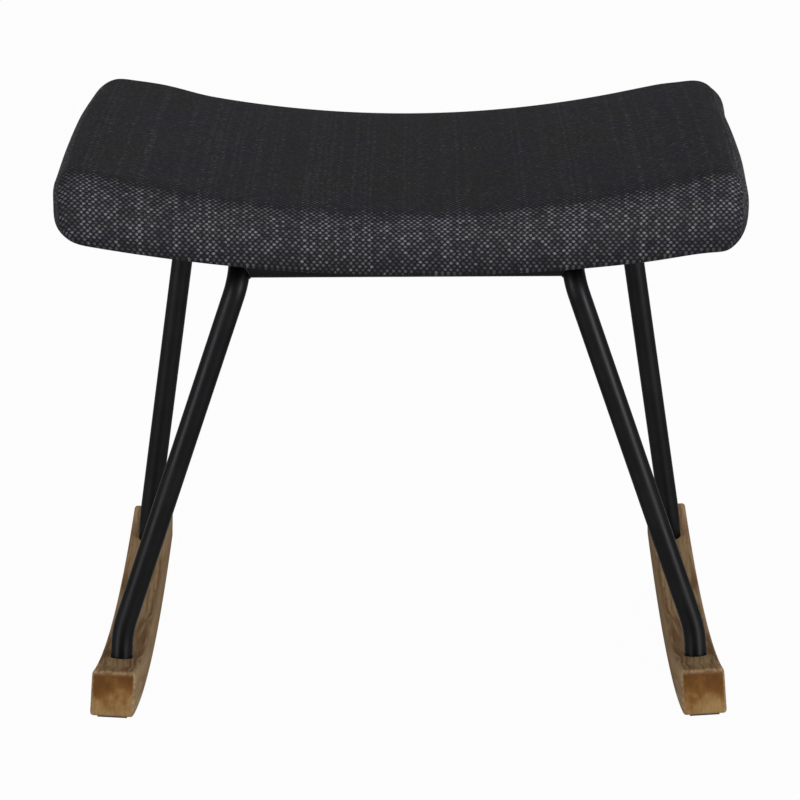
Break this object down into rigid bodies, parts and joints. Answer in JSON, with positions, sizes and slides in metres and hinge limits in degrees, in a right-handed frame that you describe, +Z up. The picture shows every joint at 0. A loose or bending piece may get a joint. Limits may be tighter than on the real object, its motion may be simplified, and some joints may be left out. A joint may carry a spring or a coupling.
{
  "type": "rocking footstool",
  "caption": "Footstool with a padded saddle seat on a bent steel tube frame, standing on two curved wooden rockers that let it rock back and forth.",
  "frame": {"origin": "on the floor, under the middle of the stool", "axes": "+X to the right seen from the front, +Y to the back, +Z up; the stool rocks about X"},
  "size_m": [0.57, 0.4505, 0.5027],
  "materials": {
    "seat_fabric": "charcoal melange basket weave",
    "seat_foam": "open-cell polyurethane foam",
    "plywood": "moulded birch plywood, unfinished",
    "lining": "black non-woven lining",
    "zinc_steel": "zinc plated",
    "black_fastener": "black oxide",
    "black_plastic": "moulded nylon",
    "black_steel": "satin black powder coat",
    "rocker_wood": "oiled hardwood, rounded edges",
    "glide_strip": "dark felt-faced strip"
  },
  "bodies": {
    "root": {"seat_cover": "seat_fabric", "seat_foam": "seat_foam", "seat_board": "plywood", "dust_cover": "lining", "cover_staples": "zinc_steel", "tee_nuts": "zinc_steel", "seat_bolts": "black_fastener", "saddle_washers": "black_plastic", "front_seat_spacers": "black_plastic", "rear_seat_spacers": "black_plastic", "left_side_frame": "black_steel", "right_side_frame": "black_steel", "front_cross_rail": "black_steel", "rear_cross_rail": "black_steel", "left_rocker": "rocker_wood", "right_rocker": "rocker_wood", "left_glide_strip": "glide_strip", "right_glide_strip": "glide_strip", "leg_inserts": "zinc_steel", "rocker_bolts": "black_fastener", "rocker_washers": "zinc_steel"}
  },
  "joints": []
}
